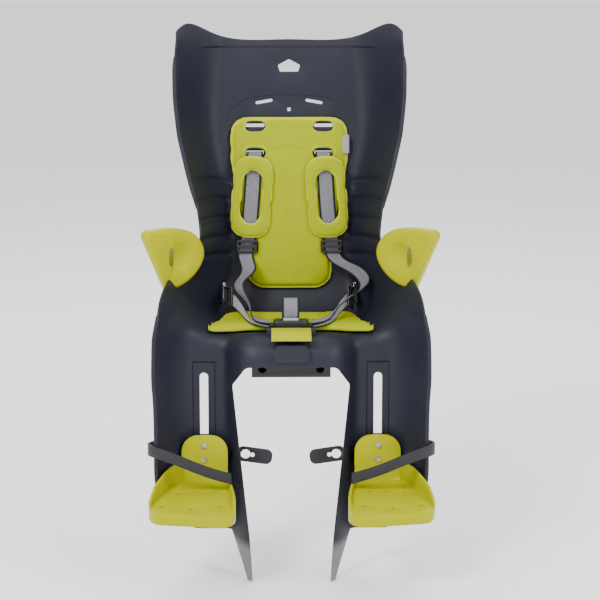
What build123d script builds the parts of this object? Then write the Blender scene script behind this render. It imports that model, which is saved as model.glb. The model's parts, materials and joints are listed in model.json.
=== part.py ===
"""Rear child seat for a bicycle, in millimetres.

The frame's origin lies midway between the mouths of the two support-bar sockets. +Z is up, the seat faces -Y
and +X is the child's left. Three planes carry most pieces: the back plane (x, up the back, forward), the pan
plane (x, rearward, up) and the leg plane (x, up the leg, forward).
"""

import math
import os

from build123d import *

os.makedirs("parts", exist_ok=True)

# Shell: side profile
wall = 3.0
back_tilt = 8.5
seat_tilt = 2.0
leg_tilt = 4.0
back_foot_y = 193.0
seat_z = 38.0
leg_y = 27.0
lip_radius = 20.0
corner_to_back = 133.0
corner_to_pan = 108.0
corner_sharpness = 6

# Shell: cross-sections
pocket_depth = 1.2
pommel_reach = 44.0
leg_depth = 55.0
wing_power = 1.8
rim_half_width = 191.0
leg_floor_edge = 137.0
section_points = 17
skin_rows = 33

# Shell: top edge, opening between the legs and guards
top_middle = 417.0
arch_top = 3.0
arch_half_width = 84.0
arch_corner = 30.0
leg_bottom = -242.0
leg_rim_bottom = -196.0
guard_tip = -309.0
guard_end = -304.0
guard_tip_x = 53.0
guard_front_x = 60.0
guard_rear_x = 86.0
slot_x = 125.0
slot_width = 12.0
slot_top = -12.0
slot_bottom = -205.0

# Support-bar sockets
socket_spacing = 82.0
socket_radius = 6.0
socket_clearance = 0.05
socket_length = 80.0
block_width = 112.0
block_length = 118.0
block_floor = -13.0
screw_x = 36.0
screw_radius = 2.5
screw_head_radius = 5.0
screw_head_height = 2.4
screw_length = 22.0

# Soft pieces
gap = 0.3
pad_thickness = 8.0
pad_top = 303.0
pad_bottom = 36.0
pad_lift = 1.4
pad_half_width = 92.0
pad_narrow = 68.0
pocket_margin = 8.0
seat_pad_thickness = 8.0
seat_pad_lift = 1.7
seat_pad_front = 128.0
seat_pad_edge = 30.0
seat_pad_rear = 95.0
seat_pad_end = 152.0
webbing = 25.0
webbing_thickness = 1.6
strap_x = 52.0
strap_slot_up = 246.0
upper_slot_up = 287.0
slot_length = 29.0
slot_height = 12.0
shell_slot_height = 5.0
crotch_y = 81.0
waist_x = 100.0
waist_z = 72.0
shoulder_pad_width = 64.0
shoulder_pad_length = 126.0
shoulder_pad_thickness = 8.0

# Buckle
buckle_width = 50.0
buckle_depth = 23.0
buckle_height = 14.0
buckle_y = 34.5
buckle_z = 56.5
button_travel = 2.5

# Hand grips
grip_depth = 20.0
grip_edge = 7.0
grip_dish = 5.0
grip_dish_radius = 42.0

# Footrests
foot_gap = 14.0
foot_wall = 4.0
wall_height = 30.0
foot_heel = -165.0
foot_tilt = 12.0
foot_length = 118.0
foot_lip = 17.5
toe_radius = 22.0
foot_inner = 91.0
heel_outer = 157.0
heel_top = -100.0
foot_travel = 70.0
slider_gap = 0.8
strap_width = 16.0
strap_thickness = 2.5

# Front release lever
lever_half_width = 28.0
lever_pin_y = 16.0
lever_pin_z = 51.8
barrel_radius = 4.0
pin_radius = 2.0
pin_clearance = 0.1
lug_width = 6.0


def side(degrees):
    """Unit vector in the side view, measured from +Y towards +Z."""
    return Vector(0, math.cos(math.radians(degrees)), math.sin(math.radians(degrees)))


def meet(p, d, q, e):
    """Where the line through p along d crosses the line through q along e, in the side view."""
    cross = d.Y * e.Z - d.Z * e.Y
    return p + d * (((q.Y - p.Y) * e.Z - (q.Z - p.Z) * e.Y) / cross)


foot = Vector(0, back_foot_y, seat_z)
leg_head = Vector(0, leg_y, 0)
back_plane = Plane(origin=foot, x_dir=(1, 0, 0), z_dir=side(180 - back_tilt))
pan_plane = Plane(origin=foot, x_dir=(1, 0, 0), z_dir=side(90 - seat_tilt))
leg_plane = Plane(origin=leg_head, x_dir=(1, 0, 0), z_dir=side(180 - leg_tilt))
corner_angle = 90 - back_tilt + seat_tilt
lip_angle = 90 + seat_tilt - leg_tilt
corner_axis = meet(
    foot + back_plane.z_dir * corner_to_back,
    back_plane.y_dir,
    foot + pan_plane.z_dir * corner_to_pan,
    pan_plane.y_dir,
)
lip_axis = meet(
    foot - pan_plane.z_dir * lip_radius,
    pan_plane.y_dir,
    leg_head - leg_plane.z_dir * lip_radius,
    leg_plane.y_dir,
)


def corner_reach(angle):
    """Distance from the corner axis to the rounded corner between back and pan."""
    to_back = math.cos(math.radians(angle)) / corner_to_back
    to_pan = math.cos(math.radians(corner_angle - angle)) / corner_to_pan
    return (to_back**corner_sharpness + to_pan**corner_sharpness) ** (-1 / corner_sharpness)


# Each section has a base point, a rise direction and a lift profile: up to x1 the middle is lifted by the
# given height, it falls to the floor at x2, and from x3 the side rises to the rim at (x4, rim height).
sections = []


def section(base, rise, middle, x1, x2, x3, x4, rim):
    sections.append((base, rise, middle, x1, x2, x3, x4, rim))


for up, x3, x4, rim in (
    (452, 80, 164, 74),
    (410, 90, 165.5, 76.5),
    (368, 98, 166.5, 78.5),
    (330, 103, 166, 80),
    (290, 104, 163, 81),
    (250, 101, 156, 83),
    (210, 95, 146.5, 86.5),
    (170, 89, 136, 92),
    (130, 85, 130.5, 98),
):
    section(foot + back_plane.y_dir * up, back_plane.z_dir, 0, 40, 80, x3, x4, rim)
for share, x3, x4, rim in (
    (0.0, 83, 136, 101),
    (0.25, 85, 148, 103),
    (0.5, 91, 159, 102),
    (0.75, 100, 167, 92),
    (1.0, 108, 172, 80),
):
    rise = side(180 - back_tilt - share * corner_angle)
    section(corner_axis - rise * corner_reach(share * corner_angle), rise, 0, 40, 80, x3, x4, rim)
for share, reach, x1, x2, x3, x4, rim in (
    (0.0, 0, 40, 82, 114, 175, 74),
    (0.33, 0.1, 38, 86, 122, 181, 72),
    (0.66, 0.5, 36, 89, 130, 187, 64),
    (1.0, 1.0, 35, 92, leg_floor_edge, rim_half_width - 1, leg_depth),
):
    rise = side(90 - seat_tilt + share * lip_angle)
    section(lip_axis + rise * lip_radius, rise, reach * pommel_reach, x1, x2, x3, x4, rim)
for share in (0.06, 0.2, 0.36, 0.52, 0.68, 0.84, 1.0):
    base = leg_head + leg_plane.y_dir * (guard_tip - 13) * share
    middle = (1.05 + 0.35 * share) * pommel_reach
    x4 = rim_half_width - 6 * share
    section(base, leg_plane.z_dir, middle, 35 - 17 * share, 92 - 8 * share, leg_floor_edge, x4, leg_depth)


def lift(x, middle, x1, x2, x3, x4, rim):
    """Height of a section above its floor at x."""
    soft = 3.0
    share = min(soft * math.log1p(math.exp((x2 - x) / soft)) / (x2 - x1), 1)
    height = middle * (1 - (1 - share) ** 3)
    if x > x3:
        height += rim * ((x - x3) / (x4 - x3)) ** wing_power
    return height


def section_edge(base, rise, *profile):
    """One half section, from the middle plane to the rim."""
    steps = 120
    rim_x = profile[4]
    points = []
    for k in range(steps + 1):
        x = rim_x * k / steps
        points.append(base + Vector(x, 0, 0) + rise * lift(x, *profile))
    return Edge.make_spline(points)


def skin_face():
    """Inner surface of the shell, lofted from rim to rim."""
    halves = [section_edge(*values) for values in sections]
    shares = [k / (section_points - 1) for k in range(section_points)]
    columns = [Edge.make_spline([half.position_at(share) for half in halves]) for share in shares]
    wires = []
    for k in range(skin_rows):
        left = [column.position_at(k / (skin_rows - 1)) for column in columns]
        right = [Vector(-point.X, point.Y, point.Z) for point in left[:0:-1]]
        row = right + left
        spacing = [j / (len(row) - 1) for j in range(len(row))]
        wires.append(Wire([Edge.make_spline(row, parameters=spacing)]))
    return Shell.make_loft(wires).faces()[0]


def pan_height(y):
    """Height of the pan's upper face at y."""
    return seat_z + (back_foot_y - y) * math.tan(math.radians(seat_tilt))


def corner_floor(share, above):
    """Point over the rounded corner between back and pan, in the middle plane."""
    angle = share * corner_angle
    return corner_axis - side(180 - back_tilt - angle) * (corner_reach(angle) - above)


def in_side_view(points):
    """Points of the middle plane, as (y, z) for a sketch on Plane.YZ."""
    return [(point.Y, point.Z) for point in points]


sides = (("left", 1), ("right", -1))
screw_places = [(x, y) for x in (-screw_x, screw_x) for y in (58.0, 104.0)]

with BuildPart() as seat_shell:
    thicken(skin_face(), amount=wall)
    # Top edge, dipping between the two rounded corners.
    with BuildSketch(back_plane.offset(120)):
        with BuildLine():
            edge = Spline(
                (-195, top_middle - 60),
                (-167, top_middle + 2),
                (-152, top_middle + 17),
                (-120, top_middle + 10),
                (0, top_middle),
                (120, top_middle + 10),
                (152, top_middle + 17),
                (167, top_middle + 2),
                (195, top_middle - 60),
            )
            Polyline(edge @ 1, (195, 560), (-195, 560), edge @ 0)
        make_face()
    extrude(amount=-200, mode=Mode.SUBTRACT)
    # Opening for the wheel between the legs.
    with BuildSketch(leg_plane.offset(90)):
        with BuildLine():
            FilletPolyline(
                (-guard_tip_x, guard_tip - 30),
                (-guard_front_x, leg_bottom),
                (-arch_half_width, arch_top - arch_corner),
                (-arch_half_width + 20, arch_top),
                (arch_half_width - 20, arch_top),
                (arch_half_width, arch_top - arch_corner),
                (guard_front_x, leg_bottom),
                (guard_tip_x, guard_tip - 30),
                radius=12,
                close=True,
            )
        make_face()
    extrude(amount=-130, mode=Mode.SUBTRACT)
    # Lower ends of the legs and the pointed guards.
    with BuildSketch(leg_plane.offset(90)):
        for sign in (-1, 1):
            with BuildLine():
                Polyline(
                    (sign * 230, leg_rim_bottom + 10),
                    (sign * rim_half_width, leg_rim_bottom),
                    (sign * (leg_floor_edge + 18), leg_bottom + 8),
                    (sign * leg_floor_edge, leg_bottom),
                    (sign * guard_rear_x, leg_bottom),
                    (sign * (guard_tip_x + 8), guard_tip),
                    (sign * (guard_tip_x - 8), guard_tip),
                    (sign * (guard_tip_x - 8), guard_tip - 60),
                    (sign * 230, guard_tip - 60),
                    close=True,
                )
            make_face()
    extrude(amount=-130, mode=Mode.SUBTRACT)
    # Blunt ends of the guards.
    with BuildSketch(leg_plane.offset(90)):
        with Locations((-guard_tip_x, guard_end - 25), (guard_tip_x, guard_end - 25)):
            Rectangle(44, 50)
    extrude(amount=-130, mode=Mode.SUBTRACT)
    # Height slots of the footrests.
    with BuildSketch(leg_plane.offset(12)):
        with Locations((-slot_x, (slot_top + slot_bottom) / 2), (slot_x, (slot_top + slot_bottom) / 2)):
            SlotOverall(slot_top - slot_bottom, slot_width, rotation=90)
    extrude(amount=-24, mode=Mode.SUBTRACT)
    # Notches where the rods of the support bar come in.
    with BuildSketch(Plane.XZ.offset(60)):
        with Locations((-socket_spacing / 2, 0), (socket_spacing / 2, 0)):
            Circle(socket_radius + 1.5)
    extrude(amount=-60, mode=Mode.SUBTRACT)
    # Shallow pocket for the back pad, with an arched top.
    with BuildSketch(back_plane.offset(-pocket_depth)):
        with BuildLine():
            pocket = Polyline(
                (-pad_half_width - pocket_margin, pad_top - 30),
                (-pad_narrow - pocket_margin, 70),
                (pad_narrow + pocket_margin, 70),
                (pad_half_width + pocket_margin, pad_top - 30),
            )
            Spline(
                pocket @ 1,
                (pad_half_width - 10, pad_top + 14),
                (0, pad_top + 30),
                (-pad_half_width + 10, pad_top + 14),
                pocket @ 0,
            )
        make_face()
    extrude(amount=12, mode=Mode.SUBTRACT)
    # Strap slots, hanging hole and small holes of the backrest.
    with BuildSketch(back_plane.offset(30)):
        for up in (strap_slot_up, upper_slot_up):
            with Locations((-strap_x, up), (strap_x, up)):
                RectangleRounded(slot_length, shell_slot_height, 2)
        with Locations((-38, pad_top + 20)):
            SlotOverall(26, 4.5, rotation=10)
        with Locations((38, pad_top + 20)):
            SlotOverall(26, 4.5, rotation=-10)
        with Locations((0, pad_top + 8)):
            Rectangle(5, 5)
        with BuildLine():
            FilletPolyline((-14, 368), (14, 368), (17, 378), (0, 387), (-17, 378), radius=2.5, close=True)
        make_face()
    extrude(amount=-60, mode=Mode.SUBTRACT)
    # Waist strap slots in the lower corners of the back.
    with BuildSketch(Plane.XZ.offset(-150)):
        with Locations((-waist_x, waist_z), (waist_x, waist_z)):
            RectangleRounded(6, slot_length, 2.5)
    extrude(amount=-80, mode=Mode.SUBTRACT)
    # Crotch strap slot and mount screw holes of the pan.
    with BuildSketch(Plane.XY.offset(60)):
        with Locations((0, crotch_y)):
            RectangleRounded(slot_length, 6, 2.5)
        with Locations(*screw_places):
            Circle(screw_radius + 0.2)
    extrude(amount=-40, mode=Mode.SUBTRACT)
    # Hump on the apron and the lugs of the release lever.
    with BuildSketch(Plane.XZ.offset(11)):
        with Locations((0, 27)):
            RectangleRounded(50, 24, 9)
    hump = extrude(amount=14)
    with BuildSketch(Plane.YZ.offset(lever_half_width + 0.4)) as lug:
        with Locations((lever_pin_y, lever_pin_z)):
            Circle(barrel_radius)
        with Locations((lever_pin_y, lever_pin_z - 5)):
            Rectangle(2 * barrel_radius, 10)
        with Locations((lever_pin_y, lever_pin_z)):
            Circle(pin_radius, mode=Mode.SUBTRACT)
    extrude(amount=lug_width)
    extrude(mirror(lug.sketch, Plane.YZ), amount=lug_width)
seat_shell.part.label = "seat_shell"
export_step(seat_shell.part, "parts/seat_shell.step")

with BuildPart() as mount_block:
    top = [pan_height(y) - wall - 2 * gap for y in (16, block_length)]
    with BuildSketch(Plane.YZ):
        with BuildLine():
            FilletPolyline(
                (0, block_floor),
                (0, 24),
                (16, top[0]),
                (block_length, top[1]),
                (block_length, -2),
                (100, block_floor),
                radius=3,
                close=True,
            )
        make_face()
    extrude(amount=block_width / 2, both=True)
    # Sockets for the two rods.
    with BuildSketch(Plane.XZ):
        with Locations((-socket_spacing / 2, 0), (socket_spacing / 2, 0)):
            Circle(socket_radius + socket_clearance)
    extrude(amount=-socket_length, mode=Mode.SUBTRACT)
    # Pocket for the crotch strap's anchor, relief between the sockets and screw holes.
    with Locations((0, crotch_y, 30)):
        Box(44, 20, 28, mode=Mode.SUBTRACT)
    with Locations((0, 34, -6)):
        Box(48, 60, 34, mode=Mode.SUBTRACT)
    with BuildSketch(Plane.XY.offset(60)):
        with Locations(*screw_places):
            Circle(screw_radius)
    extrude(amount=-44, mode=Mode.SUBTRACT)
mount_block.part.label = "mount_block"
export_step(mount_block.part, "parts/mount_block.step")

with BuildPart() as mount_screws:
    for x, y in screw_places:
        with BuildSketch(Plane.XY.offset(pan_height(y) + 0.7)):
            with Locations((x, y)):
                Circle(screw_head_radius)
        extrude(amount=screw_head_height)
        with BuildSketch(Plane.XY.offset(pan_height(y) + 0.7)):
            with Locations((x, y)):
                Circle(screw_radius)
        extrude(amount=-screw_length)
mount_screws.part.label = "mount_screws"
export_step(mount_screws.part, "parts/mount_screws.step")

with BuildPart() as back_pad:
    rear = -pocket_depth + gap
    low = [corner_floor(share, pad_lift) for share in (0.12, 0.22, 0.32)]
    low_front = [corner_floor(share, pad_lift + pad_thickness) for share in (0.32, 0.22, 0.12)]
    top_rear = back_plane.from_local_coords((0, pad_top, rear))
    top_front = back_plane.from_local_coords((0, pad_top, rear + pad_thickness))
    with BuildSketch(Plane.YZ):
        with BuildLine():
            behind = Spline(*in_side_view(low))
            ahead = Spline(*in_side_view(low_front))
            Line(behind @ 1, ahead @ 0)
            Polyline(ahead @ 1, *in_side_view([top_front, top_rear]), behind @ 0)
        make_face()
    extrude(amount=pad_half_width + 10, both=True)
    # Outline, seen along the back's normal.
    with BuildSketch(back_plane.offset(-20)) as pad_outline:
        with BuildLine():
            FilletPolyline(
                (-pad_half_width, pad_top),
                (-pad_half_width, pad_top - 70),
                (-pad_narrow, 90),
                (-pad_narrow, pad_bottom),
                (pad_narrow, pad_bottom),
                (pad_narrow, 90),
                (pad_half_width, pad_top - 70),
                (pad_half_width, pad_top),
                radius=30,
                close=True,
            )
        make_face()
        for up in (strap_slot_up, upper_slot_up):
            with Locations((-strap_x, up), (strap_x, up)):
                RectangleRounded(slot_length, slot_height, 3, mode=Mode.SUBTRACT)
    extrude(amount=80, mode=Mode.INTERSECT)
back_pad.part.label = "back_pad"
export_step(back_pad.part, "parts/back_pad.step")

with BuildPart() as pad_tag:
    with BuildSketch(back_plane.offset(pad_thickness)):
        with Locations((pad_half_width - 6, pad_top - 45)):
            RectangleRounded(10, 28, 1.5)
    extrude(amount=0.8)
pad_tag.part.label = "pad_tag"
export_step(pad_tag.part, "parts/pad_tag.step")

with BuildPart() as seat_pad:
    # The pad's middle face follows the pan from the corner under the back to the front lip.
    rows = []
    for reach, (base, rise, *profile) in zip((105, 112, 124, 134, 138), sections[11:16]):
        points = []
        for k in range(-8, 9):
            height = lift(abs(reach * k / 8), *profile) + seat_pad_lift + seat_pad_thickness / 2
            points.append(base + Vector(reach * k / 8, 0, 0) + rise * height)
        rows.append(Wire([Edge.make_spline(points, parameters=[k / 16 for k in range(17)])]))
    thicken(Shell.make_loft(rows).faces()[0], amount=seat_pad_thickness / 2, both=True)
    with BuildSketch(Plane.XY.offset(10)):
        with BuildLine():
            FilletPolyline(
                (-seat_pad_rear, seat_pad_end),
                (-seat_pad_front, seat_pad_edge),
                (seat_pad_front, seat_pad_edge),
                (seat_pad_rear, seat_pad_end),
                radius=16,
                close=True,
            )
        make_face()
        with Locations((0, buckle_y)):
            Rectangle(buckle_width + 16, buckle_depth + 8, mode=Mode.SUBTRACT)
        with Locations((0, crotch_y)):
            RectangleRounded(slot_length + 4, slot_height, 3, mode=Mode.SUBTRACT)
        with Locations(*screw_places):
            Circle(screw_head_radius + 1, mode=Mode.SUBTRACT)
    extrude(amount=90, mode=Mode.INTERSECT)
seat_pad.part.label = "seat_pad"
export_step(seat_pad.part, "parts/seat_pad.step")


def band(stops, width=webbing):
    """Middle face of a strap along stops, each a point and the direction of the strap's width there."""
    edges = []
    for half in (width / 2, -width / 2):
        points = [Vector(*point) + Vector(*across).normalized() * half for point, across in stops]
        edges.append(Edge.make_spline(points))
    return Face.make_surface_from_curves(edges[0], edges[1])


def on_back(x, up, ahead):
    """Point given by the back plane's coordinates."""
    return tuple(back_plane.from_local_coords((x, up, ahead)))


wide = (1, 0, 0)
for name, sign in sides:
    # The child's left strap hangs in a wide curl, the right one turns edge-on beside the pad.
    bend, curl = (112.0, 78.0) if name == "left" else (76.0, 62.0)
    shoulder_stops = [
        (on_back(sign * strap_x, strap_slot_up, -9), wide),
        (on_back(sign * strap_x, strap_slot_up, 4), wide),
        (on_back(sign * strap_x, strap_slot_up - 2.5, 9), wide),
        (on_back(sign * 53, strap_slot_up - 14, 10.5), wide),
        (on_back(sign * 56, 190, 10.5), wide),
        (on_back(sign * 60, 140, 10.5), wide),
        (on_back(sign * 64, 108, 11), wide),
        (on_back(sign * 67, 90, 13), wide),
        (on_back(sign * (bend - 14), 68, 32), (1, sign * 0.3, 0.2)),
        ((sign * bend, 142, 95), (0.7, sign * 0.7, 0.3)),
        ((sign * curl, 101, 75), (0.3, sign * 1, 0.1)),
        ((sign * 50, 55, buckle_z + 3.2), (0, sign * 1, 0)),
        ((sign * 30, 40, buckle_z + 2.8), (0, sign * 1, 0)),
    ]
    with BuildPart() as shoulder_strap:
        thicken(band(shoulder_stops), amount=webbing_thickness / 2, both=True)
    shoulder_strap.part.label = "shoulder_strap_" + name
    export_step(shoulder_strap.part, "parts/shoulder_strap_%s.step" % name)

    with BuildPart() as shoulder_pad:
        lean = sign * math.degrees(math.atan2(8, 100))
        with BuildSketch(back_plane.offset(12)):
            with Locations((sign * 57, 178)):
                RectangleRounded(shoulder_pad_width, shoulder_pad_length, 26, rotation=lean)
                SlotOverall(shoulder_pad_length - 50, 28, rotation=90 + lean, mode=Mode.SUBTRACT)
        extrude(amount=shoulder_pad_thickness)
        fillet(shoulder_pad.faces().sort_by(Axis(foot, back_plane.z_dir))[-1].edges(), 2.5)
    shoulder_pad.part.label = "shoulder_pad_" + name
    export_step(shoulder_pad.part, "parts/shoulder_pad_%s.step" % name)

    with BuildPart() as shoulder_lock:
        with BuildSketch(back_plane.offset(13.8)):
            with Locations((sign * 64, 103)):
                RectangleRounded(33, 20, 3)
                with Locations((0, 4.2), (0, -4.2)):
                    Rectangle(webbing + 1, 4, mode=Mode.SUBTRACT)
        extrude(amount=3)
    shoulder_lock.part.label = "shoulder_lock_" + name
    export_step(shoulder_lock.part, "parts/shoulder_lock_%s.step" % name)

    with BuildPart() as shoulder_anchor:
        with BuildSketch(back_plane.offset(-wall - gap)):
            with Locations((sign * strap_x, strap_slot_up)):
                RectangleRounded(42, 22, 3)
                Rectangle(webbing + 1.5, shell_slot_height, mode=Mode.SUBTRACT)
        extrude(amount=-4)
    shoulder_anchor.part.label = "shoulder_anchor_" + name
    export_step(shoulder_anchor.part, "parts/shoulder_anchor_%s.step" % name)

    with BuildPart() as waist_strap:
        waist_stops = [
            ((sign * waist_x, 209, waist_z), (0, 0, 1)),
            ((sign * waist_x, 194, waist_z), (0, 0, 1)),
            ((sign * (waist_x - 0.5), 180, waist_z), (0, 0, 1)),
            ((sign * 97, 166, 72), (0, 0.15, 1)),
            ((sign * 88, 140, 73), (0, 0.5, 1)),
            ((sign * 68, 92, 62), (0, 1, 0.5)),
            ((sign * 50, 48, buckle_z - 0.8), (0, 1, 0)),
            ((sign * 30, 36, buckle_z - 2.4), (0, 1, 0)),
        ]
        thicken(band(waist_stops), amount=webbing_thickness / 2, both=True)
    waist_strap.part.label = "waist_strap_" + name
    export_step(waist_strap.part, "parts/waist_strap_%s.step" % name)

    with BuildPart() as waist_lock:
        along = Vector(sign * -29, -74, -14)
        across = Vector(0, 0.5, 1)
        facing = (along.cross(across) * -sign).normalized()
        spot = Vector(sign * 88, 140, 73) + facing * 1.8
        with BuildSketch(Plane(origin=spot, x_dir=across, z_dir=facing)):
            RectangleRounded(33, 20, 3)
            with Locations((0, 4.2), (0, -4.2)):
                Rectangle(webbing + 1, 4, mode=Mode.SUBTRACT)
        extrude(amount=2.6)
    waist_lock.part.label = "waist_lock_" + name
    export_step(waist_lock.part, "parts/waist_lock_%s.step" % name)

    with BuildPart() as waist_anchor:
        with BuildSketch(Plane.XZ.offset(-202.2)):
            with Locations((sign * waist_x, waist_z)):
                RectangleRounded(16, 38, 3)
                Rectangle(2.8, webbing + 1.5, mode=Mode.SUBTRACT)
        extrude(amount=-4)
    waist_anchor.part.label = "waist_anchor_" + name
    export_step(waist_anchor.part, "parts/waist_anchor_%s.step" % name)

    with BuildPart() as buckle_tongue:
        with BuildSketch(Plane.XY.offset(buckle_z - 1.2)):
            with Locations((sign * buckle_width / 2, buckle_y)):
                RectangleRounded(14, buckle_depth - 5, 2)
        extrude(amount=2.4)
    buckle_tongue.part.label = "buckle_tongue_" + name
    export_step(buckle_tongue.part, "parts/buckle_tongue_%s.step" % name)

with BuildPart() as crotch_strap:
    crotch_stops = [
        ((0, crotch_y, 28), wide),
        ((0, crotch_y, 44), wide),
        ((0, crotch_y - 1, 60), wide),
        ((0, crotch_y - 4, 78), wide),
        ((0, crotch_y - 14, 88), wide),
        ((0, crotch_y - 26, 78), wide),
        ((0, crotch_y - 31, 64), wide),
    ]
    thicken(band(crotch_stops), amount=webbing_thickness / 2, both=True)
crotch_strap.part.label = "crotch_strap"
export_step(crotch_strap.part, "parts/crotch_strap.step")

with BuildPart() as crotch_anchor:
    with BuildSketch(Plane.XY.offset(pan_height(crotch_y) - wall - 0.4)):
        with Locations((0, crotch_y)):
            RectangleRounded(38, 14, 2)
            Rectangle(webbing + 1.5, 2.6, mode=Mode.SUBTRACT)
    extrude(amount=-4)
crotch_anchor.part.label = "crotch_anchor"
export_step(crotch_anchor.part, "parts/crotch_anchor.step")

with BuildPart() as buckle_body:
    with BuildSketch(Plane.XY.offset(buckle_z - buckle_height / 2)):
        with Locations((0, buckle_y)):
            RectangleRounded(buckle_width, buckle_depth, 6)
    extrude(amount=buckle_height)
    fillet(buckle_body.faces().sort_by(Axis.Z)[-1].edges(), 2.5)
    # Well of the button and the mouths for the tongues.
    with BuildSketch(Plane.XY.offset(buckle_z + buckle_height / 2)):
        with Locations((0, buckle_y)):
            RectangleRounded(23, 9, 2)
    extrude(amount=-7, mode=Mode.SUBTRACT)
    for sign in (-1, 1):
        with Locations((sign * (buckle_width / 2 - 3), buckle_y, buckle_z)):
            Box(11, buckle_depth - 4, 3, mode=Mode.SUBTRACT)
buckle_body.part.label = "buckle_body"
export_step(buckle_body.part, "parts/buckle_body.step")

with BuildPart() as buckle_button:
    with BuildSketch(Plane.XY.offset(buckle_z + buckle_height / 2 - 7 + button_travel + 0.3)):
        with Locations((0, buckle_y)):
            RectangleRounded(22.2, 8.2, 1.7)
    extrude(amount=7 - 0.8)
    fillet(buckle_button.faces().sort_by(Axis.Z)[-1].edges(), 0.8)
buckle_button.part.label = "buckle_button"
export_step(buckle_button.part, "parts/buckle_button.step")

with BuildPart() as release_lever:
    with BuildSketch(Plane.YZ):
        with BuildLine():
            FilletPolyline(
                (lever_pin_y, lever_pin_z + 3.9),
                (-6, 55.5),
                (-19, 52),
                (-22, 45),
                (-18.5, 44.6),
                (-14, 48.5),
                (-4, 50.5),
                (lever_pin_y, lever_pin_z - 2),
                radius=1.2,
                close=True,
            )
        make_face()
        with Locations((lever_pin_y, lever_pin_z)):
            Circle(barrel_radius)
            Circle(pin_radius + pin_clearance, mode=Mode.SUBTRACT)
    extrude(amount=lever_half_width, both=True)
release_lever.part.label = "release_lever"
export_step(release_lever.part, "parts/release_lever.step")

with BuildPart() as lever_pin:
    with BuildSketch(Plane.YZ.offset(-lever_half_width - 0.4 - lug_width)):
        with Locations((lever_pin_y, lever_pin_z)):
            Circle(pin_radius)
    extrude(amount=2 * (lever_half_width + 0.4 + lug_width))
lever_pin.part.label = "lever_pin"
export_step(lever_pin.part, "parts/lever_pin.step")


def tread(sign, inset):
    """Lines round a footrest's platform, moved in from its sides and toe by inset."""
    scale = 1 - inset / foot_length
    outer_edge = [(157, 0), (170, 17), (180, 33), (187, 48), (195, 68), (200, 90), (197, 104)]
    inner_edge = [(80, foot_length), (80, 60), (84, 35), (88, 16), (foot_inner, 0)]
    outer = Spline(*[(sign * (x - inset), -y * scale) for x, y in outer_edge])
    inner = Spline(*[(sign * (x + inset), -y * scale) for x, y in inner_edge])
    Line(outer @ 1, inner @ 0)
    Line(inner @ 1, outer @ 0)


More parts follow.
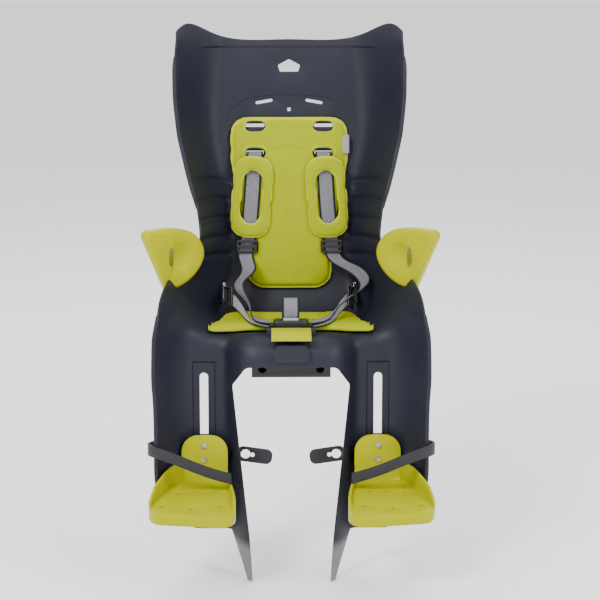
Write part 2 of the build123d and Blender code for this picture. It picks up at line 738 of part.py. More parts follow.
for name, sign in sides:
    # Hand grip: a fin over the rim of the bucket side, with a lens-shaped finger hole.
    grip_plane = Plane(origin=(sign * 136, 100, 0), x_dir=(sign * 0.8, -0.6, 0), z_dir=(-0.6, -0.8 * sign, 0))
    with BuildPart() as hand_grip:
        with BuildSketch(grip_plane):
            with BuildLine():
                inside = Spline((57, 101), (30, 106), (3, 124), (-9, 150), (3, 175), (34, 189), (78, 191))
                FilletPolyline(inside @ 1, (98, 191), inside @ 0, radius=9)
            make_face()
        extrude(amount=grip_depth / 2, both=True)
        broad = hand_grip.faces().sort_by(Axis(grip_plane.origin, grip_plane.z_dir))
        fillet(broad[0].edges() + broad[-1].edges(), grip_edge)
        # Dish in the front and the hole at its outer end.
        deep = sign * (grip_depth / 2 - grip_dish + grip_dish_radius)
        with Locations(grip_plane.from_local_coords((34, 149, deep))):
            Sphere(grip_dish_radius, mode=Mode.SUBTRACT)
        with BuildSketch(grip_plane.offset(-grip_depth)):
            with Locations((50, 149)):
                Ellipse(5.5, 15)
        extrude(amount=2 * grip_depth, mode=Mode.SUBTRACT)
        add(seat_shell.part, mode=Mode.SUBTRACT)
    hand_grip.part.label = "hand_grip_" + name
    export_step(hand_grip.part, "parts/hand_grip_%s.step" % name)

    # Footrest: heel plate, sloping platform, outer wall, low inner rim and front lip.
    heel = leg_plane.from_local_coords((0, foot_heel, foot_gap))
    slope = side(180 - leg_tilt + foot_tilt)
    platform_plane = Plane(origin=heel, x_dir=(1, 0, 0), z_dir=slope.cross(Vector(1, 0, 0)))
    side_plane = Plane(origin=heel, x_dir=slope, z_dir=(-1, 0, 0))
    drains = [(110, 40), (135, 40), (160, 44), (100, 84), (180, 84), (140, 92)]
    with BuildPart() as footrest:
        # Wall round the platform: high outside, a low rim inside, none at the toe.
        with BuildSketch(platform_plane.offset(-1)) as ring:
            with BuildLine():
                tread(sign, 0)
            make_face()
            fillet(ring.vertices().sort_by(Axis.Y)[:2], toe_radius)
            with BuildLine():
                tread(sign, foot_wall)
            make_face(mode=Mode.SUBTRACT)
        extrude(amount=wall_height)
        with BuildSketch(side_plane.offset(-sign * 120)):
            with BuildLine():
                Polyline((8, 32), (8, 90), (150, 90), (150, -0.5), (92, -0.5), (62, 20), close=True)
            make_face()
        extrude(amount=-sign * 130, mode=Mode.SUBTRACT)
        with BuildSketch(side_plane.offset(-sign * 120)):
            with BuildLine():
                Polyline((-5, 7), (-5, 90), (150, 90), (150, -0.5), (100, -0.5), (76, 7), close=True)
            make_face()
        extrude(amount=sign * 130, mode=Mode.SUBTRACT)
        # Platform with a lip that hangs below the toe and a shallow rim below the sides.
        with BuildSketch(platform_plane) as plate:
            with BuildLine():
                tread(sign, 0)
            make_face()
            fillet(plate.vertices().sort_by(Axis.Y)[:2], toe_radius)
        extrude(amount=-foot_lip)
        with BuildSketch(platform_plane.offset(-foot_wall)) as hollow:
            with BuildLine():
                tread(sign, foot_wall)
            make_face()
            fillet(hollow.vertices().sort_by(Axis.Y)[:2], toe_radius - foot_wall)
        extrude(amount=-foot_lip, mode=Mode.SUBTRACT)
        with BuildSketch(side_plane):
            with BuildLine():
                Polyline((-20, -6), (52, -6), (98, -foot_lip), (98, -60), (-20, -60), close=True)
            make_face()
        extrude(amount=250, both=True, mode=Mode.SUBTRACT)
        with BuildSketch(platform_plane.offset(4)):
            with Locations(*[(sign * x, -y) for x, y in drains]):
                Circle(2.4)
        extrude(amount=-4 - 2 * foot_wall, mode=Mode.SUBTRACT)
        with BuildSketch(leg_plane.offset(foot_gap)):
            with BuildLine():
                FilletPolyline(
                    (sign * foot_inner, foot_heel - 3),
                    (sign * heel_outer, foot_heel - 3),
                    (sign * heel_outer, heel_top),
                    (sign * foot_inner, heel_top),
                    radius=24,
                    close=True,
                )
            make_face()
            with Locations((sign * (foot_inner + heel_outer) / 2, foot_heel + 6)):
                Rectangle(heel_outer - foot_inner, 18)
        extrude(amount=foot_wall)
    footrest.part.label = "footrest_" + name
    export_step(footrest.part, "parts/footrest_%s.step" % name)

    with BuildPart() as footrest_slider:
        slider_up = foot_heel + 40
        with BuildSketch(leg_plane.offset(-wall - slider_gap)):
            with Locations((sign * slot_x, slider_up)):
                RectangleRounded(24, 44, 4)
        extrude(amount=-4)
        with BuildSketch(leg_plane.offset(-wall - slider_gap)):
            with Locations((sign * slot_x, slider_up)):
                RectangleRounded(slot_width - 1, 34, 3)
        extrude(amount=foot_gap + wall + slider_gap)
    footrest_slider.part.label = "footrest_slider_" + name
    export_step(footrest_slider.part, "parts/footrest_slider_%s.step" % name)

    with BuildPart() as footrest_screws:
        with BuildSketch(leg_plane.offset(foot_gap + foot_wall)):
            with Locations((sign * slot_x, slider_up - 10), (sign * slot_x, slider_up + 10)):
                Circle(4)
        extrude(amount=1.8)
    footrest_screws.part.label = "footrest_screws_" + name
    export_step(footrest_screws.part, "parts/footrest_screws_%s.step" % name)

    # Foot strap: over the instep, round the rim of the leg and behind it to the keyhole tab.
    up_leg = tuple(leg_plane.y_dir)
    strap_line = (
        (86, -156.2, 46),
        (100, -150, 56),
        (130, -137, 66),
        (165, -122, 68),
        (190, -114, 63),
        (201, -113, 50),
        (199, -114, 28),
        (182, -117, 2),
        (155, -121, -13),
        (110, -128, -15),
        (62, -136, -15),
    )
    with BuildPart() as foot_strap:
        stops = [(tuple(leg_plane.from_local_coords((sign * x, up, f))), up_leg) for x, up, f in strap_line]
        thicken(band(stops, strap_width), amount=strap_thickness / 2, both=True)
        with BuildSketch(leg_plane.offset(-15 - strap_thickness / 2)) as tab:
            with Locations((sign * 53, -137)):
                RectangleRounded(52, 22, 9, rotation=sign * 8)
        extrude(amount=strap_thickness)
        with BuildSketch(leg_plane.offset(-30)):
            with Locations((sign * 66, -135)):
                Circle(7)
            with Locations((sign * 56, -136.4)):
                Circle(3.4)
            with Locations((sign * 61, -135.7)):
                Rectangle(10, 4.5, rotation=sign * 8)
        extrude(amount=40, mode=Mode.SUBTRACT)
    foot_strap.part.label = "foot_strap_" + name
    export_step(foot_strap.part, "parts/foot_strap_%s.step" % name)
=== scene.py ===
import json
import math

import bpy
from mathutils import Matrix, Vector


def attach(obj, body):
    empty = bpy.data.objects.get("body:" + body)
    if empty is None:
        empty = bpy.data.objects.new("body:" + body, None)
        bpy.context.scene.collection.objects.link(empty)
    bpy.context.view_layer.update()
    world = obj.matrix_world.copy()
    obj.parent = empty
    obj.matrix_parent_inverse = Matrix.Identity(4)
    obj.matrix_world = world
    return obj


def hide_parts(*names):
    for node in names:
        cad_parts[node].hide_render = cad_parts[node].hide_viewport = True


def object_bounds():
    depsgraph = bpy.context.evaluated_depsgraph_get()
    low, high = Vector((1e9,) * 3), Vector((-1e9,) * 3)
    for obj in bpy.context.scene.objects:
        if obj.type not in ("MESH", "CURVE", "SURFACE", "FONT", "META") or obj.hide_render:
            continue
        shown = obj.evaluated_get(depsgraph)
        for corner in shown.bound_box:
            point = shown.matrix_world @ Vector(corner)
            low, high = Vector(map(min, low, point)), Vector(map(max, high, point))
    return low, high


# Looks of the rear child bike seat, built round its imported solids. Sizes are in metres, angles in degrees.
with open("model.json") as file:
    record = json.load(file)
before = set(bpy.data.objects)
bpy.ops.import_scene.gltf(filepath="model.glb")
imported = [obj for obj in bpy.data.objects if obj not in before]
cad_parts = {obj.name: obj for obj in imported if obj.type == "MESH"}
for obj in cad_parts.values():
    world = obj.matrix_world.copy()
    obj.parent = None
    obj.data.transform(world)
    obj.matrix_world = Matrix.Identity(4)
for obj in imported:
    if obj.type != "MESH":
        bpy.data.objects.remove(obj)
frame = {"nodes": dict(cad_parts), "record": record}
nodes = frame["nodes"]
cad_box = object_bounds()
slots = {part["node"]: part["material_slot"] for part in frame["record"]["subparts"]}

# Camera, as found from the photo: place, downward tilt, turn and lens
camera_place = (-0.030, -2.125, 0.5515)
camera_tilt = 12.0
camera_turn = -0.8
camera_lens = 92.9
camera_shift = 0.015

# Back plane of the shell: its foot and lean
back_foot = Vector((0, 0.193, 0.038))
back_lean = math.radians(8.5)
back_up = Vector((0, math.sin(back_lean), math.cos(back_lean)))
back_ahead = Vector((0, -math.cos(back_lean), math.sin(back_lean)))

# Soft pads: voxel of the remesh, pressure, frames, shrink before swelling and border width
pad_voxel = 0.0042
pad_pressure = 4.0
pad_frames = 16
pad_shrink = 0.0008
border = 0.006

# Back pad in the back plane: middle, length, half widths below and above, corners and strap slots
back_pad_up = 0.1695
back_pad_length = 0.267
back_pad_low = 0.068
back_pad_high = 0.092
back_pad_corner = 0.03
pad_slot_x = 0.052
pad_slot_heights = (0.246, 0.287)
pad_slot_length = 0.029
pad_slot_width = 0.012

# Shoulder pads: place in the back plane, size and window
shoulder_pad_x = 0.057
shoulder_pad_up = 0.178
shoulder_pad_width = 0.064
shoulder_pad_length = 0.126
window_width = 0.028
window_length = 0.076

# Seat pad from above: rear edge, length, half widths behind and in front
seat_pad_end = 0.152
seat_pad_length = 0.122
seat_pad_rear = 0.095
seat_pad_front = 0.128

# How far ahead of the back plane the shoulder straps let the back pad come
strap_bed = 0.009

# Webbing
webbing_width = 0.025
webbing_thickness = 0.0016
buckle_z = 0.0565

# Edge rounding of the mouldings and the rolled rim of the shell
shell_edge = 0.0013
hard_edge = 0.0008
lime_edge = 0.0022
rim_radius = 0.0034
rim_runs = ((-0.185, 0.085), (0.205, 0.435))
rim_step = 0.01


def sums(tree, operation, first, second=None, third=None):
    """One step of arithmetic in a material, on sockets or plain numbers."""
    step = tree.nodes.new("ShaderNodeMath")
    step.operation = operation
    for socket, value in zip(step.inputs, (first, second, third)):
        if isinstance(value, (int, float)):
            socket.default_value = value
        elif value is not None:
            tree.links.new(value, socket)
    return step.outputs[0]


def within(tree, value, low, high, soft):
    """1 where value lies between low and high, fading to 0 over soft on either side."""
    rising = tree.nodes.new("ShaderNodeMapRange")
    falling = tree.nodes.new("ShaderNodeMapRange")
    for step, start, stop in ((rising, low - soft, low), (falling, high + soft, high)):
        step.interpolation_type = "SMOOTHSTEP"
        tree.links.new(value, step.inputs["Value"])
        step.inputs["From Min"].default_value = start
        step.inputs["From Max"].default_value = stop
    return sums(tree, "MULTIPLY", rising.outputs[0], falling.outputs[0])


def mixed(tree, share, first, second):
    """Colour between two colours, each a triple or a socket."""
    step = tree.nodes.new("ShaderNodeMix")
    step.data_type = "RGBA"
    tree.links.new(share, step.inputs[0])
    for socket, value in ((step.inputs[6], first), (step.inputs[7], second)):
        if isinstance(value, tuple):
            socket.default_value = (*value, 1)
        else:
            tree.links.new(value, socket)
    return step.outputs[2]


def noise(tree, scale, detail=3.0):
    place = tree.nodes.new("ShaderNodeTexCoord")
    made = tree.nodes.new("ShaderNodeTexNoise")
    made.inputs["Scale"].default_value = scale
    made.inputs["Detail"].default_value = detail
    tree.links.new(place.outputs["Object"], made.inputs["Vector"])
    return made.outputs["Fac"]


def bumped(tree, height, strength, distance):
    bump = tree.nodes.new("ShaderNodeBump")
    bump.inputs["Strength"].default_value = strength
    bump.inputs["Distance"].default_value = distance
    tree.links.new(height, bump.inputs["Height"])
    surface = tree.nodes["Principled BSDF"]
    if surface.inputs["Normal"].is_linked:
        tree.links.new(surface.inputs["Normal"].links[0].from_socket, bump.inputs["Normal"])
    tree.links.new(bump.outputs["Normal"], surface.inputs["Normal"])


def plain(name, colour, rough, specular=0.5, mottle=0.0, grain=0.0, grain_size=1200.0, tint=(1, 1, 1)):
    """Material with a slightly mottled colour and a fine grain."""
    made = bpy.data.materials.new(name)
    made.use_nodes = True
    tree = made.node_tree
    surface = tree.nodes["Principled BSDF"]
    surface.inputs["Roughness"].default_value = rough
    surface.inputs["Specular IOR Level"].default_value = specular
    surface.inputs["Specular Tint"].default_value = (*tint, 1)
    low = tuple(c * (1 - mottle) for c in colour)
    high = tuple(min(c * (1 + mottle), 1) for c in colour)
    tree.links.new(mixed(tree, noise(tree, 60.0, 6.0), low, high), surface.inputs["Base Color"])
    if grain:
        bumped(tree, noise(tree, grain_size), grain, 0.0006)
    return made


def moulded_shell():
    """Matte navy moulding with comfort grooves, frames round the height slots, and guard ends painted paler
    as painted light on their lit inner faces.
    """
    made = plain("shell", shell_colour, 0.5, specular=0.3, mottle=0.06, grain=0.2, grain_size=1500)
    tree = made.node_tree
    place = tree.nodes.new("ShaderNodeTexCoord")
    parts = tree.nodes.new("ShaderNodeSeparateXYZ")
    tree.links.new(place.outputs["Object"], parts.inputs[0])
    x, y, z = parts.outputs
    wide = sums(tree, "ABSOLUTE", x)
    # Five grooves on each side of the back, which rise a little towards the rim
    risen = sums(tree, "SUBTRACT", z, sums(tree, "MULTIPLY", wide, 0.25))
    turns = sums(tree, "MULTIPLY", sums(tree, "SUBTRACT", risen, 0.105), 2 * math.pi / 0.027)
    wave = sums(tree, "POWER", sums(tree, "MULTIPLY_ADD", sums(tree, "COSINE", turns), 0.5, 0.5), 3.0)
    field = within(tree, wide, 0.096, 0.128, 0.014)
    field = sums(tree, "MULTIPLY", field, within(tree, z, 0.128, 0.248, 0.012))
    field = sums(tree, "MULTIPLY", field, within(tree, y, 0.12, 0.4, 0.02))
    grooves = sums(tree, "MULTIPLY", sums(tree, "MULTIPLY", wave, field), -1.0)
    bumped(tree, grooves, 0.9, 0.004)
    # Shallow frame round each height slot
    frame_field = sums(
        tree, "MULTIPLY", within(tree, wide, 0.110, 0.140, 0.0015), within(tree, z, -0.215, 0.002, 0.003)
    )
    bumped(tree, sums(tree, "MULTIPLY", frame_field, -1.0), 0.8, 0.003)
    # Soft step under the top edge of the back
    step = sums(tree, "MULTIPLY", within(tree, z, 0.441, 0.6, 0.004), within(tree, wide, 0.0, 0.12, 0.02))
    bumped(tree, step, 0.7, 0.003)
    # Guard ends painted paler: painted light where their inner faces catch the light
    surface = tree.nodes["Principled BSDF"]
    base = surface.inputs["Base Color"].links[0].from_socket
    lit_guard_ends = within(tree, z, -0.5, -0.262, 0.02)
    tree.links.new(mixed(tree, lit_guard_ends, base, guard_painted_light), surface.inputs["Base Color"])
    return made


def pad_fabric():
    """Matte lime knit over foam, with a brighter pressed border where the mesh says so."""
    made = plain("pad_fabric", pad_colour, 0.9, specular=0.12, mottle=0.05, tint=(0.9, 0.95, 0.2))
    tree = made.node_tree
    surface = tree.nodes["Principled BSDF"]
    base = surface.inputs["Base Color"].links[0].from_socket
    edge = tree.nodes.new("ShaderNodeAttribute")
    edge.attribute_name = "border"
    tree.links.new(mixed(tree, edge.outputs["Fac"], base, pad_border_colour), surface.inputs["Base Color"])
    place = tree.nodes.new("ShaderNodeTexCoord")
    cells = tree.nodes.new("ShaderNodeTexVoronoi")
    cells.inputs["Scale"].default_value = 700.0
    tree.links.new(place.outputs["Object"], cells.inputs["Vector"])
    bumped(tree, cells.outputs["Distance"], 0.35, 0.0005)
    return made


def woven(name, dark, light):
    """Webbing: chevron weave along the strap, speckled yarn and dark selvedges."""
    made = plain(name, light, 0.85, specular=0.15)
    tree = made.node_tree
    surface = tree.nodes["Principled BSDF"]
    weave = tree.nodes.new("ShaderNodeUVMap")
    weave.uv_map = "weave"
    parts = tree.nodes.new("ShaderNodeSeparateXYZ")
    tree.links.new(weave.outputs[0], parts.inputs[0])
    across = sums(tree, "ABSOLUTE", sums(tree, "SUBTRACT", parts.outputs[0], 0.5))
    slant = sums(tree, "MULTIPLY_ADD", across, 8.0, sums(tree, "MULTIPLY", parts.outputs[1], 7.0))
    ripple = sums(tree, "SINE", sums(tree, "MULTIPLY", slant, 2 * math.pi))
    ribs = sums(tree, "MULTIPLY_ADD", ripple, 0.5, 0.5)
    speckle = within(tree, noise(tree, 1300.0), 0.52, 1.0, 0.08)
    share = sums(tree, "MULTIPLY_ADD", speckle, 0.55, sums(tree, "MULTIPLY", ribs, 0.45))
    yarn = mixed(tree, share, dark, light)
    selvedge = within(tree, across, 0.40, 1.0, 0.03)
    tree.links.new(mixed(tree, selvedge, yarn, selvedge_colour), surface.inputs["Base Color"])
    bumped(tree, ribs, 0.6, 0.0006)
    return made


shell_colour = (0.0105, 0.0115, 0.022)
# Painted light: a paler colour for the guard ends, standing in for light on their inner faces
guard_painted_light = (0.20, 0.185, 0.19)
pad_colour = (0.31, 0.355, 0.003)
pad_border_colour = (0.45, 0.50, 0.015)
lime_colour = (0.36, 0.365, 0.0002)
selvedge_colour = (0.018, 0.018, 0.022)
materials = {
    "shell": moulded_shell(),
    "pad_fabric": pad_fabric(),
    "lime_plastic": plain("lime_plastic", lime_colour, 0.28, specular=0.18, mottle=0.02, tint=(1, 1, 0.02)),
    "webbing": woven("webbing", (0.06, 0.06, 0.068), (0.27, 0.265, 0.29)),
    "webbing_light": woven("webbing_light", (0.15, 0.15, 0.16), (0.42, 0.42, 0.44)),
    "hardware": plain("hardware", (0.012, 0.012, 0.016), 0.4, specular=0.4, grain=0.1),
    "button": plain("button", (0.36, 0.36, 0.38), 0.4, grain=0.05),
    "rubber": plain("rubber", (0.014, 0.014, 0.018), 0.55, specular=0.4, grain=0.15),
    "steel": plain("steel", (0.45, 0.45, 0.47), 0.35, grain=0.05),
    "tag": plain("tag", (0.30, 0.30, 0.30), 0.85, specular=0.2, grain=0.3, grain_size=2000),
}
materials["steel"].node_tree.nodes["Principled BSDF"].inputs["Metallic"].default_value = 1.0


def finish_solids():
    """Gives each solid its slot's material, and rounds the edges of the mouldings."""
    for name, node in nodes.items():
        node.data.materials.clear()
        node.data.materials.append(materials[slots[name]])
        for face in node.data.polygons:
            face.use_smooth = True
        weld = node.modifiers.new("weld", "WELD")
        weld.merge_threshold = 0.00003
        bevel = node.modifiers.new("edge", "BEVEL")
        bevel.width = hard_edge
        if name == "seat_shell":
            bevel.width = shell_edge
        elif slots[name] == "lime_plastic":
            bevel.width = lime_edge
        bevel.segments = 3
        bevel.limit_method = "ANGLE"
        bevel.angle_limit = math.radians(40)
        bevel.harden_normals = True


def applied(piece):
    """Writes the piece's modified mesh into the piece."""
    graph = bpy.context.evaluated_depsgraph_get()
    made = bpy.data.meshes.new_from_object(piece.evaluated_get(graph))
    piece.modifiers.clear()
    piece.data = made


def place_piece(piece, slot, *stands_for):
    """Smooth, in its slot's material, riding on the seat and standing for the named solids."""
    for face in piece.data.polygons:
        face.use_smooth = True
    piece.data.materials.clear()
    piece.data.materials.append(materials[slot])
    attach(piece, "seat")
    if stands_for:
        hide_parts(*stands_for)


def smooth_share(value, low, high):
    """0 at low, 1 at high, with soft ends."""
    share = min(max((value - low) / (high - low), 0.0), 1.0)
    return share * share * (3 - 2 * share)


def rounded_box(across, along, half_width, half_length, radius):
    """Distance inside the edge of a rounded rectangle, negative outside it."""
    over = Vector((max(abs(across) - half_width + radius, 0), max(abs(along) - half_length + radius, 0)))
    if over.length > 0:
        return radius - over.length
    return radius + min(half_width - radius - abs(across), half_length - radius - abs(along))


def back_pad_form(point):
    """Border share and forward move of a point on the front of the back pad."""
    up = (point - back_foot).dot(back_up)
    half = back_pad_low + (back_pad_high - back_pad_low) * min(max((up - 0.09) / 0.143, 0), 1)
    inside = rounded_box(point.x, up - back_pad_up, half, back_pad_length / 2, back_pad_corner)
    slot = min(
        -rounded_box(abs(point.x) - pad_slot_x, up - height, pad_slot_length / 2, pad_slot_width / 2, 0.003)
        for height in pad_slot_heights
    )
    rim = 1 - smooth_share(inside, border, border + 0.004)
    hem = 1 - smooth_share(slot, 0.002, 0.005)
    crease = math.exp(-((point.x / 0.005) ** 2))
    crease *= smooth_share(up, 0.05, 0.09) * (1 - smooth_share(up, 0.2, 0.24))
    # The shoulder strap lies in the foam and presses it back
    strap_x = 0.053 + 0.1 * (0.232 - up)
    under = 1 - smooth_share(abs(abs(point.x) - strap_x), 0.0135, 0.0185)
    under *= smooth_share(up, 0.08, 0.095) * (1 - smooth_share(up, 0.246, 0.25))
    pressed = under * max((point - back_foot).dot(back_ahead) - strap_bed, 0)
    return max(rim, 0.7 * hem), 0.0009 * hem - 0.0024 * rim - 0.0014 * crease - pressed


def shoulder_pad_form(side):
    """The same for one shoulder pad, a leaning ring round its window."""
    lean = side * math.atan2(8, 100)

    def form(point):
        x = point.x - side * shoulder_pad_x
        up = (point - back_foot).dot(back_up) - shoulder_pad_up
        across = x * math.cos(lean) + up * math.sin(lean)
        along = up * math.cos(lean) - x * math.sin(lean)
        outer = rounded_box(across, along, shoulder_pad_width / 2, shoulder_pad_length / 2, 0.026)
        inner = -rounded_box(across, along, window_width / 2, window_length / 2, window_width / 2 - 0.0001)
        rim = 1 - smooth_share(min(outer, inner), 0.0025, 0.0055)
        return rim, -0.0016 * rim

    return form


def seat_pad_form(point):
    """The same for the seat pad, seen from above."""
    share = min(max((seat_pad_end - point.y) / seat_pad_length, 0), 1)
    half = seat_pad_rear + (seat_pad_front - seat_pad_rear) * share
    inside = min(half - abs(point.x), seat_pad_end - point.y)
    rim = 1 - smooth_share(inside, border, border + 0.004)
    crease = math.exp(-((point.x / 0.006) ** 2))
    return rim, -0.002 * rim - 0.001 * crease


def soft_pad(name, cap, facing, form):
    """Swells a copy of a pad's solid with cloth, then presses its border, creases and hems into the front."""
    source = nodes[name]
    pad = source.copy()
    pad.data = source.data.copy()
    pad.parent = None
    pad.name = name + "_soft"
    pad.modifiers.clear()
    for key in list(pad.keys()):
        del pad[key]
    bpy.context.scene.collection.objects.link(pad)
    remesh = pad.modifiers.new("remesh", "REMESH")
    remesh.mode = "VOXEL"
    remesh.voxel_size = pad_voxel
    shrink = pad.modifiers.new("shrink", "DISPLACE")
    shrink.strength = -pad_shrink
    shrink.mid_level = 0.0
    applied(pad)
    start = [vertex.co.copy() for vertex in pad.data.vertices]
    cloth = pad.modifiers.new("cloth", "CLOTH")
    cloth.settings.use_pressure = True
    cloth.settings.uniform_pressure_force = pad_pressure
    cloth.settings.effector_weights.gravity = 0
    cloth.settings.tension_stiffness = 20
    cloth.settings.compression_stiffness = 20
    cloth.settings.bending_stiffness = 2
    for step in range(1, pad_frames + 1):
        bpy.context.scene.frame_set(step)
    applied(pad)
    bpy.context.scene.frame_set(1)
    for vertex, rest in zip(pad.data.vertices, start):
        move = vertex.co - rest
        # The back of the pad stays on what lies behind it
        move -= facing * min(move.dot(facing), 0)
        vertex.co = rest + move * min(cap / max(move.length, cap), 1.0)
    smooth = pad.modifiers.new("smooth", "SMOOTH")
    smooth.factor = 0.5
    smooth.iterations = 3
    pad.modifiers.new("finer", "SUBSURF").levels = 1
    applied(pad)
    borders = pad.data.attributes.new("border", "FLOAT", "POINT")
    normals = [vertex.normal.copy() for vertex in pad.data.vertices]
    for vertex, normal in zip(pad.data.vertices, normals):
        ahead = smooth_share(normal.dot(facing), 0.2, 0.7)
        rim, move = form(vertex.co)
        borders.data[vertex.index].value = rim
        vertex.co += facing * (move * ahead)
    place_piece(pad, "pad_fabric", name)


def spline(points, count):
    """Evenly spaced points on a smooth curve through the given points."""
    knots = [0.0]
    for here, there in zip(points, points[1:]):
        knots.append(knots[-1] + (there - here).length)
    last = len(points) - 1
    # Curvatures of a natural cubic spline, by elimination
    curvature = [points[0] * 0 for _ in points]
    ratio = [0.0] * (last + 1)
    bend = [points[0] * 0 for _ in points]
    for k in range(1, last):
        before, after = knots[k] - knots[k - 1], knots[k + 1] - knots[k]
        pull = ((points[k + 1] - points[k]) / after - (points[k] - points[k - 1]) / before) * 6
        scale = 2 * (before + after) - before * ratio[k - 1]
        ratio[k] = after / scale
        bend[k] = (pull - bend[k - 1] * before) / scale
    for k in range(last - 1, 0, -1):
        curvature[k] = bend[k] - curvature[k + 1] * ratio[k]
    made = []
    k = 0
    for j in range(count + 1):
        t = knots[-1] * j / count
        while k < last - 1 and t > knots[k + 1]:
            k += 1
        gap = knots[k + 1] - knots[k]
        a, b = (knots[k + 1] - t) / gap, (t - knots[k]) / gap
        made.append(
            points[k] * a
            + points[k + 1] * b
            + (curvature[k] * (a**3 - a) + curvature[k + 1] * (b**3 - b)) * (gap * gap / 6)
        )
    return made


def strap(name, slot, stops, stands_for=()):
    """Flat webbing along stops, each a point in millimetres and the direction of its width there."""
    centres = [Vector(point) / 1000 for point, across in stops]
    ways = [Vector(across).normalized() * webbing_width / 2 for point, across in stops]
    count = 150
    right = spline([c + w for c, w in zip(centres, ways)], count)
    left = spline([c - w for c, w in zip(centres, ways)], count)
    columns = (0.0, 0.03, 0.1, 0.3, 0.5, 0.7, 0.9, 0.97, 1.0)
    thick = (0.3, 0.8, 1.0, 1.0, 1.0, 1.0, 1.0, 0.8, 0.3)
    points = []
    weave = []
    run = 0.0
    for k in range(count + 1):
        before, after = max(k - 1, 0), min(k + 1, count)
        along = right[after] + left[after] - right[before] - left[before]
        normal = (right[k] - left[k]).cross(along).normalized()
        if k:
            run += ((right[k] + left[k]) - (right[k - 1] + left[k - 1])).length / 2
        for face in (1, -1):
            for share, full in zip(columns[::face], thick[::face]):
                points.append(left[k].lerp(right[k], share) + normal * (face * full * webbing_thickness / 2))
                weave.append((share, run / webbing_width))
    ring = 2 * len(columns)
    faces = []
    for k in range(count):
        for j in range(ring):
            here, after = k * ring + j, k * ring + (j + 1) % ring
            faces.append((here, after, after + ring, here + ring))
    faces.append(tuple(range(ring - 1, -1, -1)))
    faces.append(tuple(range(count * ring, (count + 1) * ring)))
    mesh = bpy.data.meshes.new(name)
    mesh.from_pydata(points, [], faces)
    layer = mesh.uv_layers.new(name="weave")
    for loop in mesh.loops:
        layer.data[loop.index].uv = weave[loop.vertex_index]
    piece = bpy.data.objects.new(name, mesh)
    bpy.context.scene.collection.objects.link(piece)
    place_piece(piece, slot, *stands_for)


def on_back(x, up, ahead):
    """Point in millimetres, given in the back plane."""
    return back_foot * 1000 + Vector((x, 0, 0)) + back_up * up + back_ahead * ahead


def harness():
    """Shoulder, waist and crotch straps, in the places of their solids."""
    level = (1, 0, 0)
    low = buckle_z * 1000
    for side, name, bend, curl in ((1, "left", 112, 78), (-1, "right", 76, 62)):
        strap(
            "webbing_shoulder_" + name,
            slots["shoulder_strap_" + name],
            [
                (on_back(side * 52, 246, -9), level),
                (on_back(side * 52, 246, 4), level),
                (on_back(side * 52, 243.5, 9), level),
                (on_back(side * 53, 232, 10.5), level),
                (on_back(side * 56, 190, 10.5), level),
                (on_back(side * 60, 140, 10.5), level),
                (on_back(side * 64, 108, 11), level),
                (on_back(side * 67, 90, 13), level),
                (on_back(side * (bend - 14), 68, 32), (1, side * 0.3, 0.2)),
                ((side * bend, 142, 95), (0.7, side * 0.7, 0.3)),
                ((side * curl, 101, 75), (0.3, side, 0.1)),
                ((side * 50, 55, low + 3.2), (0, side, 0)),
                ((side * 30, 40, low + 2.8), (0, side, 0)),
            ],
            ["shoulder_strap_" + name],
        )
        strap(
            "webbing_waist_" + name,
            slots["waist_strap_" + name],
            [
                ((side * 100, 209, 72), (0, 0, 1)),
                ((side * 100, 194, 72), (0, 0, 1)),
                ((side * 99.5, 180, 72), (0, 0, 1)),
                ((side * 97, 166, 72), (0, 0.15, 1)),
                ((side * 88, 140, 73), (0, 0.5, 1)),
                ((side * 68, 92, 62), (0, 1, 0.5)),
                ((side * 50, 48, low - 0.8), (0, 1, 0)),
                ((side * 30, 36, low - 2.4), (0, 1, 0)),
            ],
            ["waist_strap_" + name],
        )
    strap(
        "webbing_crotch",
        slots["crotch_strap"],
        [
            ((0, 81, 28), level),
            ((0, 81, 44), level),
            ((0, 80, 60), level),
            ((0, 77, 78), level),
            ((0, 67, 88), level),
            ((0, 55, 78), level),
            ((0, 50, 64), level),
        ],
        ["crotch_strap"],
    )


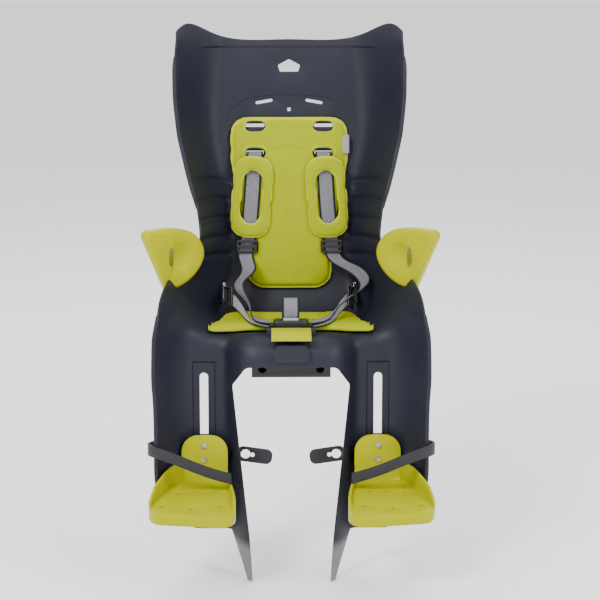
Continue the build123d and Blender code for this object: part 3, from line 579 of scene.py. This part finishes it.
def rolled_rim():
    """Beads along the shell's rim: on each side one above and one below the hand grip."""
    points = [vertex.co for vertex in nodes["seat_shell"].data.vertices]
    curve = bpy.data.curves.new("rolled_rim", "CURVE")
    curve.dimensions = "3D"
    curve.bevel_depth = rim_radius
    curve.bevel_resolution = 3
    curve.use_fill_caps = True
    for low, high in rim_runs:
        line = []
        for k in range(int((high - low) / rim_step) + 1):
            near = [p for p in points if abs(p.z - low - k * rim_step) < 0.008 and p.x > 0.1]
            line.append(max(near, key=lambda p: p.x).copy())
        for _ in range(3):
            line = [line[0]] + [(a + b * 2 + c) / 4 for a, b, c in zip(line, line[1:], line[2:])] + [line[-1]]
        for side in (1, -1):
            path = curve.splines.new("NURBS")
            path.points.add(len(line) - 1)
            for k, (knot, point) in enumerate(zip(path.points, line)):
                knot.co = (side * point.x, point.y, point.z, 1)
                knot.radius = min(0.3 + 0.25 * min(k, len(line) - 1 - k), 1.0)
            path.use_endpoint_u = True
            path.order_u = 4
    holder = bpy.data.objects.new("rolled_rim_path", curve)
    bpy.context.scene.collection.objects.link(holder)
    graph = bpy.context.evaluated_depsgraph_get()
    mesh = bpy.data.meshes.new_from_object(holder.evaluated_get(graph))
    bpy.data.objects.remove(holder)
    piece = bpy.data.objects.new("rolled_rim", mesh)
    bpy.context.scene.collection.objects.link(piece)
    place_piece(piece, "shell")


def studio(low):
    """Pale floor, soft lights and the camera."""
    bpy.ops.mesh.primitive_plane_add(size=80, location=(0, 0, low - 0.001))
    floor = bpy.context.object
    floor.name = "floor"
    floor.data.materials.append(plain("floor", (0.93, 0.93, 0.93), 0.95, specular=0.0))
    world = bpy.data.worlds.new("studio")
    world.use_nodes = True
    world.node_tree.nodes["Background"].inputs["Color"].default_value = (1, 1, 1, 1)
    world.node_tree.nodes["Background"].inputs["Strength"].default_value = 1.35
    bpy.context.scene.world = world
    for place, size, power in (
        ((-1.5, -1.7, 2.3), 0.9, 75),
        ((1.9, -1.2, 1.5), 0.9, 30),
        ((0.0, 1.7, 2.2), 1.4, 40),
    ):
        lamp = bpy.data.lights.new("soft_light", "AREA")
        lamp.size = size
        lamp.energy = power
        holder = bpy.data.objects.new("soft_light", lamp)
        holder.location = place
        holder.rotation_euler = (Vector((0, 0.05, 0.1)) - Vector(place)).to_track_quat("-Z", "Y").to_euler()
        bpy.context.scene.collection.objects.link(holder)
    lens = bpy.data.cameras.new("camera")
    lens.lens = camera_lens
    lens.sensor_width = 36
    lens.shift_x = camera_shift
    lens.clip_end = 200
    camera = bpy.data.objects.new("camera", lens)
    camera.location = camera_place
    camera.rotation_euler = (math.radians(90 - camera_tilt), 0, math.radians(camera_turn))
    bpy.context.scene.collection.objects.link(camera)
    bpy.context.scene.camera = camera


finish_solids()
soft_pad("back_pad", 0.004, back_ahead, back_pad_form)
soft_pad("seat_pad", 0.003, Vector((0, 0, 1)), seat_pad_form)
for pad_side, side_name in ((1, "left"), (-1, "right")):
    soft_pad("shoulder_pad_" + side_name, 0.002, back_ahead, shoulder_pad_form(pad_side))
harness()
rolled_rim()
studio(cad_box[0][2])
